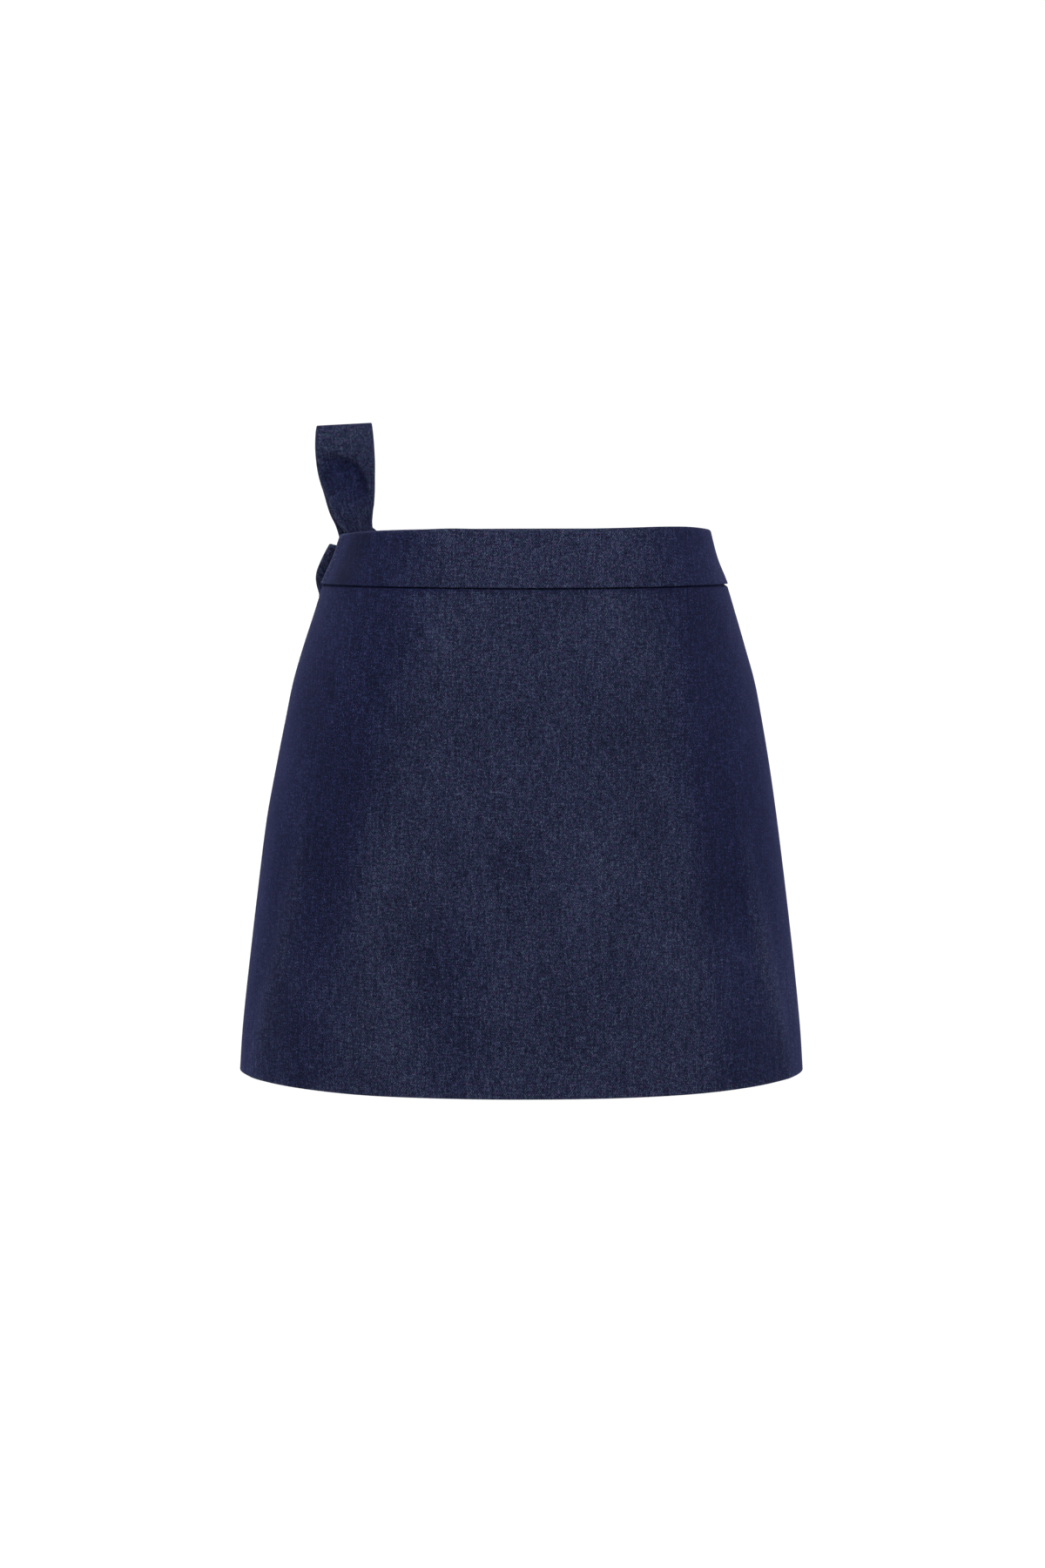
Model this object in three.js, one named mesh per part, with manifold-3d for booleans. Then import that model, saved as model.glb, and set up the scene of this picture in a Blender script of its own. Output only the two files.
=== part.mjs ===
// Short wrap skirt in dark denim, in its worn form with no wearer, tied in a bow at the left hip.
// Millimetres, +Z up. The back of the skirt faces -Y and its front +Y, so the wearer's left is -X.
// The origin is the middle of the waist opening, halfway up the waistband, where a wearer holds it.
// Places on the skirt are given by an angle round it in degrees and a drop below its top edge.
// The angle is 0 at the wearer's right side, 90 at the front, 180 at the left and 270 at the back.
import * as THREE from 'three';
import Module from 'manifold-3d';
import { mergeVertices } from 'three/addons/utils/BufferGeometryUtils.js';

const wasm = await Module();
wasm.setup();

// Driving dimensions, in millimetres and degrees
const LENGTH = 376; // waistband's top edge to the hem
const BAND_HEIGHT = 38;
const BAND_CLOTH = 2.6; // folded strip, two layers and the seam allowances
const BAND_PROUD = 1; // waistband stands out from the panels by this
const BACK_DIP = 1.5; // waist seam is lower at the centre back by this
const SIDE_DIP = 2.2; // top edge is lower at the sides by this
const CLOTH = 1.4; // one layer of denim
const TURNED = 2.2; // denim where an edge is turned in
const HEM_TURN = 24;
const EDGE_TURN = 18;
const SEAM = 0.3; // gap between pieces that are sewn together
const SIDE_SEAM = 3; // side seams lie forward of the widest line by this angle
const OVERLAP_EDGE = { waist: 128, hem: 124.5 }; // free edge of the upper front
const UNDERLAP_EDGE = 55; // free edge of the lower front
const LAP_OUT = 1.9; // the upper front lies this far outside the skirt's outline
const LAP_IN = 1.4; // and the lower front this far inside it
const LAP_RISE = { from: 12, to: 46 }; // angles over which the upper front leaves the outline
const LAP_SINK = { from: 138, to: 166 }; // and over which the lower front comes back to it
const CORNER_LIFT = { height: 3, from: 0.72 }; // the overlap's lower corner stands away from here
const TURN_STEP = 0.004; // share of a panel in which a turned edge reaches its thickness
const KNOT = { degrees: 143.5, drop: 29, out: 11 };
const KNOT_HALF = { aside: 13.5, out: 9.5, up: 12 };
const KNOT_ROUND = { level: 0.62, plan: 0.85, top: 0.8 }; // powers: under 1 is squarer than a ball
const KNOT_FOLDS = { depth: 0.035, across: 9, slant: 2 };

// Outline of the skirt seen from above, at a few drops, smooth between them
const OUTLINE = [
  { drop: 0, halfWidth: 125.2, back: 92, front: 88, shift: 2.6 },
  { drop: 20, halfWidth: 131.8, back: 95.5, front: 90.5, shift: 1.4 },
  { drop: 38, halfWidth: 139.2, back: 100, front: 93.5, shift: 1.2 },
  { drop: 60, halfWidth: 145.6, back: 106, front: 96.5, shift: 1.4 },
  { drop: 80, halfWidth: 151.8, back: 111, front: 99.5, shift: 0.9 },
  { drop: 105, halfWidth: 158.9, back: 115.5, front: 102.5, shift: 0.8 },
  { drop: 130, halfWidth: 163.9, back: 118.5, front: 105, shift: 0.7 },
  { drop: 165, halfWidth: 170.4, back: 120.5, front: 108, shift: 0.3 },
  { drop: 200, halfWidth: 176.2, back: 121.5, front: 110.5, shift: -0.4 },
  { drop: 250, halfWidth: 182.6, back: 122, front: 113.5, shift: -0.6 },
  { drop: 300, halfWidth: 188.4, back: 122.5, front: 116.5, shift: -0.6 },
  { drop: 345, halfWidth: 193.1, back: 123.5, front: 118.5, shift: -0.6 },
  { drop: 376, halfWidth: 195.2, back: 124.5, front: 120, shift: -0.6 },
];

// Loops of the bow, from inside the knot to the fold, measured from the knot's middle: aside is
// towards the front, out away from the skirt. Turn is the ribbon's own turn about the vertical.
// The layer next to the skirt lies at near, the other at far, on either side of that line.
const UPPER_LOOP = [
  { up: 4, aside: 0, out: 0, turn: 0, width: 15, thick: 4, gather: 0.7, near: 3.3, far: 3.3 },
  { up: 16, aside: -0.2, out: 1.5, turn: -6, width: 19, thick: 3.6, gather: 0.9, near: 3.9, far: 3.8 },
  { up: 31, aside: -0.9, out: 4.2, turn: -18, width: 24.5, thick: 3, gather: 0.9, near: 5, far: 4.6 },
  { up: 42, aside: -2.4, out: 6.3, turn: -30, width: 31, thick: 2.6, gather: 0.6, near: 5.4, far: 5.4 },
  { up: 57, aside: -3.4, out: 7.9, turn: -38, width: 37, thick: 2.2, gather: 0.3, near: 4.4, far: 6.2 },
  { up: 71, aside: -4.5, out: 9.5, turn: -42, width: 40.5, thick: 2.2, gather: 0.1, near: 6.4, far: 6.6 },
  { up: 86, aside: -5.3, out: 10.3, turn: -42, width: 41.6, thick: 2.2, gather: 0, near: 7.4, far: 6.4 },
  { up: 97, aside: -5.6, out: 10.5, turn: -42, width: 40.4, thick: 2.2, gather: 0, near: 5.8, far: 5 },
  { up: 102.4, aside: -5.6, out: 10.5, turn: -42, width: 39, thick: 2.2, gather: 0, near: 0, far: 0 },
];
const LOWER_LOOP = [
  { up: -4, aside: 0, out: 3.6, turn: 0, width: 14, thick: 3.4, gather: 0.5, near: 2.6, far: 2.6 },
  { up: -16, aside: 0.5, out: 7, turn: 0, width: 19, thick: 3.2, gather: 0.8, near: 3.4, far: 3.8 },
  { up: -30, aside: 1, out: 13.4, turn: 0, width: 26, thick: 2.8, gather: 0.8, near: 4, far: 5.6 },
  { up: -46, aside: 1.5, out: 18, turn: 0, width: 34, thick: 2.3, gather: 0.4, near: 4.5, far: 8 },
  { up: -64, aside: 1.5, out: 22, turn: 0, width: 39, thick: 2.2, gather: 0.1, near: 5, far: 8.6 },
  { up: -80, aside: 1, out: 25, turn: 0, width: 39.6, thick: 2.2, gather: 0, near: 4.5, far: 6.4 },
  { up: -90, aside: 1, out: 26.5, turn: 0, width: 39, thick: 2.2, gather: 0, near: 0, far: 0 },
];

// Stretches of the tie along the waistband to the knot. Out is the ribbon's middle, away from the
// skirt's outline, and the ribbon's top edge leans out from that and its lower edge in, by tilt.
const SIDE_STRETCH = [
  { degrees: 176.6, drop: 24, width: 37, out: 2.5, tilt: 0, thick: 2.2, gather: 0 },
  { degrees: 174.5, drop: 26, width: 37, out: 5, tilt: 3, thick: 2.2, gather: 0 },
  { degrees: 171, drop: 27.5, width: 37.5, out: 6.6, tilt: 4.5, thick: 2.2, gather: 0 },
  { degrees: 165, drop: 28.5, width: 37, out: 6.4, tilt: 3.5, thick: 2.2, gather: 0.1 },
  { degrees: 158, drop: 29, width: 33, out: 6.2, tilt: 2, thick: 2.6, gather: 0.4 },
  { degrees: 152.5, drop: 29, width: 26, out: 8, tilt: 0.5, thick: 3.2, gather: 0.8 },
  { degrees: 149, drop: 29, width: 20, out: 10, tilt: 0, thick: 3.8, gather: 0.7 },
  { degrees: 146.5, drop: 29, width: 17, out: 11, tilt: 0, thick: 4, gather: 0.6 },
];
const FRONT_STRETCH = [
  { degrees: 140.5, drop: 29, width: 17, out: 11, tilt: 0, thick: 4, gather: 0.6 },
  { degrees: 138, drop: 28, width: 20, out: 9.5, tilt: 0, thick: 3.8, gather: 0.7 },
  { degrees: 134.5, drop: 25, width: 27, out: 5.5, tilt: 0, thick: 3.2, gather: 0.8 },
  { degrees: 131, drop: 21.5, width: 34, out: 2.6, tilt: 0, thick: 2.8, gather: 0.3 },
  { degrees: 128.2, drop: 19, width: 37, out: 1.6, tilt: 0, thick: 2.6, gather: 0 },
];

// Loose ends of the tie, from inside the knot down the skirt
const SIDE_END = [
  { drop: 36, degrees: 145.6, width: 9, out: 5, thick: 3, gather: 0.4 },
  { drop: 46, degrees: 147, width: 12, out: 3.6, thick: 3, gather: 0.5 },
  { drop: 62, degrees: 149, width: 21, out: 2.6, thick: 2.6, gather: 0.4 },
  { drop: 85, degrees: 151.5, width: 31, out: 2.2, thick: 2.2, gather: 0.2 },
  { drop: 115, degrees: 153.5, width: 37, out: 1.9, thick: 2.2, gather: 0 },
  { drop: 150, degrees: 155, width: 38, out: 1.9, thick: 2.2, gather: 0 },
  { drop: 178, degrees: 156, width: 38, out: 2.6, thick: 2.2, gather: 0 },
];
const FRONT_END = [
  { drop: 36, degrees: 141.4, width: 9, out: 5, thick: 3, gather: 0.4 },
  { drop: 46, degrees: 140, width: 12, out: 4.4, thick: 3, gather: 0.5 },
  { drop: 62, degrees: 137.5, width: 20, out: 4.2, thick: 2.6, gather: 0.4 },
  { drop: 85, degrees: 134.5, width: 30, out: 4.3, thick: 2.2, gather: 0.2 },
  { drop: 115, degrees: 131.5, width: 37, out: 4.3, thick: 2.2, gather: 0 },
  { drop: 150, degrees: 129, width: 38, out: 4.5, thick: 2.2, gather: 0 },
  { drop: 170, degrees: 128, width: 38, out: 5.2, thick: 2.2, gather: 0 },
];

const { clamp, degToRad, lerp, radToDeg, smoothstep } = THREE.MathUtils;

// Numbers from one end of a range to the other, evenly spaced
function evenly(steps, from = 0, to = 1) {
  return Array.from({ length: steps + 1 }, (_, i) => lerp(from, to, i / steps));
}

// A column's value between a table's rows, on a smooth curve through them
function smooth(table, column, place, key = 'drop') {
  const rising = table[1][key] > table[0][key];
  let i = 0;
  while (i < table.length - 2 && (place > table[i + 1][key]) === rising) i += 1;
  const slope = (row) => {
    const before = table[Math.max(row - 1, 0)];
    const after = table[Math.min(row + 1, table.length - 1)];
    return (after[column] - before[column]) / (after[key] - before[key]);
  };
  const span = table[i + 1][key] - table[i][key];
  const t = clamp((place - table[i][key]) / span, 0, 1);
  const [start, end] = [table[i][column], table[i + 1][column]];
  const bend = (1 - t) * span * slope(i) - t * span * slope(i + 1) - (1 - 2 * t) * (end - start);
  return lerp(start, end, t) + t * (1 - t) * bend;
}

function outlineAt(degrees, drop) {
  const angle = degToRad(degrees);
  return {
    cos: Math.cos(angle),
    sin: Math.sin(angle),
    halfWidth: smooth(OUTLINE, 'halfWidth', drop),
    depth: smooth(OUTLINE, Math.sin(angle) < 0 ? 'back' : 'front', drop),
  };
}

// Level direction straight out of the skirt
function outward(degrees, drop) {
  const { cos, sin, halfWidth, depth } = outlineAt(degrees, drop);
  return new THREE.Vector3(cos / halfWidth, sin / depth, 0).normalize();
}

function skirtPoint(degrees, drop, out) {
  const { cos, sin, halfWidth, depth } = outlineAt(degrees, drop);
  return new THREE.Vector3(
    smooth(OUTLINE, 'shift', drop) + halfWidth * cos,
    depth * sin,
    BAND_HEIGHT / 2 - drop,
  ).addScaledVector(outward(degrees, drop), out);
}

// The angle that spans a length along the outline
function degreesFor(length, degrees, drop) {
  const { cos, sin, halfWidth, depth } = outlineAt(degrees, drop);
  return radToDeg(length / Math.hypot(halfWidth * sin, depth * cos));
}

// A closed wall between two grids of points, with a rim all round. A face's columns run with the
// angle and its rows downwards where the first grid is the outer one.
function wall(columns, rows, firstFace, secondFace) {
  const points = [];
  for (const face of [firstFace, secondFace]) {
    for (const u of columns) {
      for (const v of rows) points.push(...face(u, v).toArray());
    }
  }
  const [lastColumn, lastRow] = [columns.length - 1, rows.length - 1];
  const at = (side, i, j) => (side * columns.length + i) * rows.length + j;
  const index = [];
  const quad = (a, b, c, d) => index.push(a, b, c, a, c, d);
  for (let i = 0; i < lastColumn; i += 1) {
    for (let j = 0; j < lastRow; j += 1) {
      quad(at(0, i, j), at(0, i, j + 1), at(0, i + 1, j + 1), at(0, i + 1, j));
      quad(at(1, i, j), at(1, i + 1, j), at(1, i + 1, j + 1), at(1, i, j + 1));
    }
    quad(at(0, i, 0), at(0, i + 1, 0), at(1, i + 1, 0), at(1, i, 0));
    quad(at(0, i + 1, lastRow), at(0, i, lastRow), at(1, i, lastRow), at(1, i + 1, lastRow));
  }
  for (let j = 0; j < lastRow; j += 1) {
    quad(at(0, 0, j + 1), at(0, 0, j), at(1, 0, j), at(1, 0, j + 1));
    quad(at(0, lastColumn, j), at(0, lastColumn, j + 1), at(1, lastColumn, j + 1), at(1, lastColumn, j));
  }
  const geometry = new THREE.BufferGeometry();
  geometry.setAttribute('position', new THREE.Float32BufferAttribute(points, 3));
  geometry.setIndex(index);
  return geometry;
}

const DENIM = 0x272b40;
const BAND_DENIM = 0x2d3248;
const TIE_DENIM = 0x2a2f45;
function piece(name, geometry, color = DENIM) {
  const material = new THREE.MeshStandardMaterial({ color, roughness: 0.9, metalness: 0 });
  const mesh = new THREE.Mesh(geometry, material);
  mesh.name = name;
  mesh.geometry.computeVertexNormals();
  return mesh;
}

// How far the two fronts lie off the outline where they lap
const lapOver = (degrees) => LAP_OUT * smoothstep(degrees, LAP_RISE.from, LAP_RISE.to);
const lapUnder = (degrees) => -LAP_IN * (1 - smoothstep(degrees, LAP_SINK.from, LAP_SINK.to));
const flush = () => 0;

// How much lower the waist seam and the top edge are than straight ones
const backDip = (degrees) => BACK_DIP * Math.max(0, -Math.sin(degToRad(degrees))) ** 2;
const sideDip = (degrees) => SIDE_DIP * Math.abs(Math.cos(degToRad(degrees))) ** 20;
const seamAngle = (drop) => SIDE_SEAM + degreesFor(SEAM / 2, 0, drop);
const overlapEdge = (drop) => lerp(OVERLAP_EDGE.waist, OVERLAP_EDGE.hem, drop / LENGTH);

// The three lengths that go round the skirt, with the angles of their two ends at each drop
const BACK = {
  from: (drop) => 180 - SIDE_SEAM + degreesFor(SEAM / 2, 0, drop),
  to: (drop) => 360 + SIDE_SEAM - degreesFor(SEAM / 2, 0, drop),
  lap: flush,
};
const OVERLAP = { from: seamAngle, to: overlapEdge, lap: lapOver, freeEdge: 'to' };
const UNDERLAP = {
  from: () => UNDERLAP_EDGE,
  to: (drop) => 180 - seamAngle(drop),
  lap: lapUnder,
  freeEdge: 'from',
};

// A skirt panel: its hem and its free edge are turned in, and so thicker towards the inside
function panel({ from, to, lap, freeEdge }, columnCount) {
  const top = BAND_HEIGHT + SEAM;
  const hemStart = 1 - HEM_TURN / (LENGTH - top);
  const rows = [...evenly(11, 0, hemStart - TURN_STEP), hemStart, 1];
  const turn = degreesFor(EDGE_TURN, 90, LENGTH / 2) / Math.abs(to(0) - from(0));
  let columns = evenly(columnCount);
  if (freeEdge === 'to') columns = [...evenly(columnCount, 0, 1 - turn - TURN_STEP), 1 - turn, 1];
  if (freeEdge === 'from') columns = [0, turn, ...evenly(columnCount, turn + TURN_STEP, 1)];
  const isTurned = (u, v) => v >= hemStart
    || (freeEdge === 'to' && u >= 1 - turn) || (freeEdge === 'from' && u <= turn);
  const place = (u, v, inwards) => {
    const drop = lerp(top, LENGTH, v);
    const degrees = lerp(from(drop), to(drop), u);
    const corner = freeEdge === 'to' ? v ** 2 * smoothstep(u, CORNER_LIFT.from, 1) : 0;
    const out = lap(degrees) + CORNER_LIFT.height * corner - inwards;
    return skirtPoint(degrees, drop + backDip(degrees) * (1 - v) ** 3, out);
  };
  return wall(columns, rows, (u, v) => place(u, v, 0), (u, v) => place(u, v, isTurned(u, v) ? TURNED : CLOTH));
}

// A length of the waistband, with rounded upper and lower folds
function waistband({ from, to, lap }, columnCount) {
  const rows = [0, 0.035, 0.26, 0.5, 0.74, 0.965, 1];
  const rounding = 0.28 * BAND_CLOTH;
  const place = (u, v, inner) => {
    const degrees = lerp(from(BAND_HEIGHT / 2), to(BAND_HEIGHT / 2), u);
    const drop = lerp(sideDip(degrees), BAND_HEIGHT + backDip(degrees), v);
    const round = v === 0 || v === 1 ? rounding : 0;
    const out = BAND_PROUD + lap(degrees) - (inner ? BAND_CLOTH - round : round);
    return skirtPoint(degrees, drop, out);
  };
  return wall(evenly(columnCount), rows, (u, v) => place(u, v, false), (u, v) => place(u, v, true));
}

// The knot's own directions and its middle
const knotOut = outward(KNOT.degrees, KNOT.drop);
const knotAside = new THREE.Vector3(knotOut.y, -knotOut.x, 0);
const knotMiddle = skirtPoint(KNOT.degrees, KNOT.drop, KNOT.out);
const fromKnot = (aside, out, up) => knotMiddle.clone()
  .addScaledVector(knotAside, aside)
  .addScaledVector(knotOut, out)
  .add(new THREE.Vector3(0, 0, up));

// The wrap at the middle of the bow: a short rounded barrel with slanting folds
function knot(grow = 0) {
  const ball = new THREE.SphereGeometry(1, 22, 14);
  ball.deleteAttribute('normal');
  ball.deleteAttribute('uv');
  const shape = mergeVertices(ball, 1e-4);
  const points = shape.attributes.position;
  const squared = (value, power) => Math.sign(value) * Math.abs(value) ** power;
  for (let i = 0; i < points.count; i += 1) {
    const [x, y, z] = [points.getX(i), -points.getZ(i), points.getY(i)];
    const level = Math.hypot(x, y);
    const around = Math.atan2(y, x);
    const waist = squared(level, KNOT_ROUND.level);
    const wave = Math.cos(KNOT_FOLDS.across * z - KNOT_FOLDS.slant * around);
    const folds = 1 + KNOT_FOLDS.depth * wave * level;
    const place = fromKnot(
      (KNOT_HALF.aside + grow) * waist * squared(Math.cos(around), KNOT_ROUND.plan) * folds,
      (KNOT_HALF.out + grow) * waist * squared(Math.sin(around), KNOT_ROUND.plan) * folds,
      (KNOT_HALF.up + grow) * squared(z, KNOT_ROUND.top),
    );
    points.setXYZ(i, place.x, place.y, place.z);
  }
  return shape;
}

function solidOf(geometry) {
  return new wasm.Manifold(new wasm.Mesh({
    numProp: 3,
    vertProperties: new Float32Array(geometry.attributes.position.array),
    triVerts: new Uint32Array(geometry.index.array),
  }));
}

// A ribbon without the part that goes into the knot
const knotRoom = solidOf(knot(SEAM));
function outsideKnot(geometry) {
  const pieces = solidOf(geometry).subtract(knotRoom).decompose();
  const largest = pieces.reduce((a, b) => (a.volume() > b.volume() ? a : b));
  const { vertProperties, triVerts } = largest.getMesh();
  const cut = new THREE.BufferGeometry();
  cut.setAttribute('position', new THREE.BufferAttribute(new Float32Array(vertProperties), 3));
  cut.setIndex(new THREE.BufferAttribute(new Uint32Array(triVerts), 1));
  return cut;
}

const ACROSS = [0, 0.06, 0.18, 0.31, 0.44, 0.56, 0.69, 0.82, 0.94, 1]; // places across a ribbon
const PLEATS = 3.5; // gathers across a ribbon at the knot
const halfThickness = (thick, v) => (thick / 2) * (v === 0 || v === 1 ? 0.45 : 1);
const pleat = (gather, v) => gather * Math.cos(2 * Math.PI * PLEATS * v);

// A ribbon that lies round the skirt, with a table keyed by degrees
function stretch(table, steps) {
  const place = (u, v, side) => {
    const degrees = lerp(table[0].degrees, table.at(-1).degrees, u);
    const at = (column) => smooth(table, column, degrees, 'degrees');
    const out = at('out') + at('tilt') * (0.5 - v) + pleat(at('gather'), v);
    const drop = at('drop') + at('width') * (v - 0.5);
    return skirtPoint(degrees, drop, out + side * halfThickness(at('thick'), v));
  };
  const rising = table.at(-1).degrees > table[0].degrees ? 1 : -1;
  return wall(evenly(steps), ACROSS, (u, v) => place(u, v, rising), (u, v) => place(u, v, -rising));
}

// A ribbon that hangs down the skirt, with a table keyed by drop
function end(table, steps) {
  const place = (u, v, side) => {
    const drop = lerp(table[0].drop, table.at(-1).drop, u);
    const at = (column) => smooth(table, column, drop);
    const degrees = at('degrees') + degreesFor(at('width') * (v - 0.5), at('degrees'), drop);
    return skirtPoint(degrees, drop, at('out') + pleat(at('gather'), v) + side * halfThickness(at('thick'), v));
  };
  return wall(evenly(steps), ACROSS, (u, v) => place(u, v, -1), (u, v) => place(u, v, 1));
}

// A loop of the bow: its inner layer out to the fold, and its outer layer back to the knot
function loop(table, steps) {
  const layers = [
    ...table.map((row) => ({ ...row, apart: -row.near })),
    ...table.slice(0, -1).reverse().map((row) => ({ ...row, apart: row.far })),
  ].map((row, index) => ({ ...row, index }));
  const acrossOf = (turn) => knotAside.clone().applyAxisAngle(new THREE.Vector3(0, 0, 1), degToRad(turn));
  const path = new THREE.CatmullRomCurve3(layers.map((row) => {
    const across = acrossOf(row.turn);
    const apart = new THREE.Vector3(-across.y, across.x, 0);
    return fromKnot(row.aside, row.out, row.up).addScaledVector(apart, row.apart);
  }));
  const upwards = Math.sign(table[1].up);
  const place = (u, v, side) => {
    const at = (column) => smooth(layers, column, u * (layers.length - 1), 'index');
    const tangent = path.getTangent(u);
    const across = acrossOf(at('turn'));
    across.addScaledVector(tangent, -across.dot(tangent)).normalize();
    const face = new THREE.Vector3().crossVectors(across, tangent);
    return path.getPoint(u)
      .addScaledVector(across, at('width') * (v - 0.5))
      .addScaledVector(face, upwards * pleat(at('gather'), v) + side * halfThickness(at('thick'), v));
  };
  return wall(evenly(steps), ACROSS, (u, v) => place(u, v, 1), (u, v) => place(u, v, -1));
}

const group = new THREE.Group();
group.add(
  piece('back_panel', panel(BACK, 34)),
  piece('overlap_front_panel', panel(OVERLAP, 22)),
  piece('underlap_front_panel', panel(UNDERLAP, 22)),
  piece('waistband_back', waistband(BACK, 34), BAND_DENIM),
  piece('waistband_overlap', waistband(OVERLAP, 22), BAND_DENIM),
  piece('waistband_underlap', waistband(UNDERLAP, 22), BAND_DENIM),
  piece('tie_knot', knot(), TIE_DENIM),
  piece('tie_upper_loop', outsideKnot(loop(UPPER_LOOP, 30)), TIE_DENIM),
  piece('tie_lower_loop', outsideKnot(loop(LOWER_LOOP, 24)), TIE_DENIM),
  piece('tie_side_stretch', outsideKnot(stretch(SIDE_STRETCH, 14)), TIE_DENIM),
  piece('tie_front_stretch', outsideKnot(stretch(FRONT_STRETCH, 8)), TIE_DENIM),
  piece('tie_side_end', outsideKnot(end(SIDE_END, 14)), TIE_DENIM),
  piece('tie_front_end', outsideKnot(end(FRONT_END, 13)), TIE_DENIM),
);

export default group;
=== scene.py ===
"""The looks of a short dark denim wrap skirt, tied in a bow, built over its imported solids.

The skirt is in its worn form with no wearer. Its back faces -Y and its front +Y, so the wearer's left is -X.
Sizes are in millimetres until a mesh is made, which is in metres. A place on the skirt is an angle round it and a
drop below its top edge. The angle is 0 at the wearer's right side, 90 at the front and 270 at the back.
"""

import math
from collections import namedtuple

import bpy
import numpy as np
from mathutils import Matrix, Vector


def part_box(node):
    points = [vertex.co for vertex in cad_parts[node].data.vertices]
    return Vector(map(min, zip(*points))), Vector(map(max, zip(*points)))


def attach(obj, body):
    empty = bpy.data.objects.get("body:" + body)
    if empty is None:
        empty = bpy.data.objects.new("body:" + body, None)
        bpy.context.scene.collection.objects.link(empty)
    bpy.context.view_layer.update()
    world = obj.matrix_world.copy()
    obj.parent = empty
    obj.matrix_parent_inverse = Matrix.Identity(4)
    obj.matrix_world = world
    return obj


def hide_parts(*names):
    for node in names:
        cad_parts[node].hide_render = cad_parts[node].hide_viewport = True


bl_info = {
    "name": "Denim wrap skirt",
    "version": (1, 0, 0),
    "blender": (4, 5, 0),
    "location": "3D View > Sidebar > Wrap skirt",
    "description": "Dresses the solids of a denim wrap skirt that is tied in a bow",
    "category": "Object",
}

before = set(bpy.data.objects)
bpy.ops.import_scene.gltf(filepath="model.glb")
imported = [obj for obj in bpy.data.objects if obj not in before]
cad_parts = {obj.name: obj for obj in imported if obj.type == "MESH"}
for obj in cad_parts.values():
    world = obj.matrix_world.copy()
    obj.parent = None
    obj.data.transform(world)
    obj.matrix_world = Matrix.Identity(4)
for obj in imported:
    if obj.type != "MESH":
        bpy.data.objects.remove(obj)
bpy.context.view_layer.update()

MM = 0.001
BODY = "root"

SKIRT_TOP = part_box("waistband_back")[1].z / MM
LENGTH = SKIRT_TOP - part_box("back_panel")[0].z / MM

# Form of the skirt, as in the part's source

Outline = namedtuple("Outline", "drop half_width back front shift")
OUTLINE = [
    Outline(0, 125.3, 92, 88, 2.7),
    Outline(20, 131, 95.5, 90.5, 2.2),
    Outline(38, 138.6, 100, 93.5, 1.8),
    Outline(60, 145.6, 106, 96.5, 1.4),
    Outline(80, 151.8, 111, 99.5, 0.9),
    Outline(105, 158.9, 115.5, 102.5, 0.8),
    Outline(130, 163.9, 118.5, 105, 0.7),
    Outline(165, 170.4, 120.5, 108, 0.3),
    Outline(200, 176.2, 121.5, 110.5, -0.4),
    Outline(250, 182.6, 122, 113.5, -0.6),
    Outline(300, 188.4, 122.5, 116.5, -0.6),
    Outline(345, 193.1, 123.5, 118.5, -0.6),
    Outline(376, 195.2, 124.5, 120, -0.6),
]
BAND_HEIGHT = 38
SIDE_SEAM = 3  # side seams lie forward of the widest line by this angle
OVERLAP_EDGE_WAIST, OVERLAP_EDGE_HEM = 128, 124.5
UNDERLAP_EDGE = 55
LAP_OUT, LAP_RISE = 1.9, (12, 46)  # the overlap stands out by this, and rises between these angles
LAP_IN, LAP_SINK = 1.4, (138, 166)  # the underlap lies in by this, up to the second angle
CORNER_LIFT, CORNER_FROM = 3, 0.72  # the overlap's lower corner lifts, from this share of its width
BACK_DIP = 1.5  # the waist seam is lower at the middle of the back by this
HEM_RAISED, HEM_SAG_BACK, HEM_SAG_FRONT = 1.7, 4.0, 2.6  # the hem is high at the sides, and sags between them
# How much lower than a level line the waistband's top edge is, in pairs of an angle and a drop
TOP_EDGE = [
    *((3, 1.4), (15, 0.9), (30, 0.2), (60, 0), (100, 0.2), (128, 0.7), (150, 1.8), (177, 4.4), (190, 3.8)),
    *((203, 2.6), (217, 1.8), (230, 1.2), (246, 0), (258, 0.6), (269, 1.2), (280, 0.6), (291, 0)),
    *((304, -0.6), (316, -1.2), (330, -1.2), (345, -0.1), (363, 1.4)),
]
SEAM_OVERLAP = 0.15  # pieces run into each other by this where they are sewn, so that no light shows through
HEM_TURN, EDGE_TURN, SEAM_ALLOWANCE = 24, 18, 12
FOLD = 0.7  # the cloth gets thicker over this, where a hem, an edge or a seam allowance is turned in
IN_BAND = 7  # the panels reach up inside the folded waistband by this
GROOVE, GROOVE_DEPTH = 2.2, 1.9  # the panels dip below the waistband's lower edge
# The sewn end of the tie makes a ridge in the waistband, at these angles at its top and bottom
TUCKED_TIE, TUCK_HEIGHT, TUCK_DEGREES = (190, 187), 1.8, 2.4
# Angles of the lighter middle of the back, partly a fade and partly painted light from the lamps in front, of a darker
# patch in it, and of the fade in the middle of the front
FADED_AND_LIT_BACK, DARK_PATCH, FADED_FRONT = (241.5, 310), 256, 86
# Painted shade darkens the waistband at this angle
BAND_END_PAINTED_SHADE = 206  # the waistband is dark at this angle
RIPPLE = 0.25
DEGREE_LENGTH = 2.6  # a degree round the skirt is about this long

Creased = namedtuple("Creased", "line width height")


def crease(line, width, height):
    """A soft ridge of that height, or a trough where it is negative, along a line of points"""
    return Creased(np.array(line, float), width, height)


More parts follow.
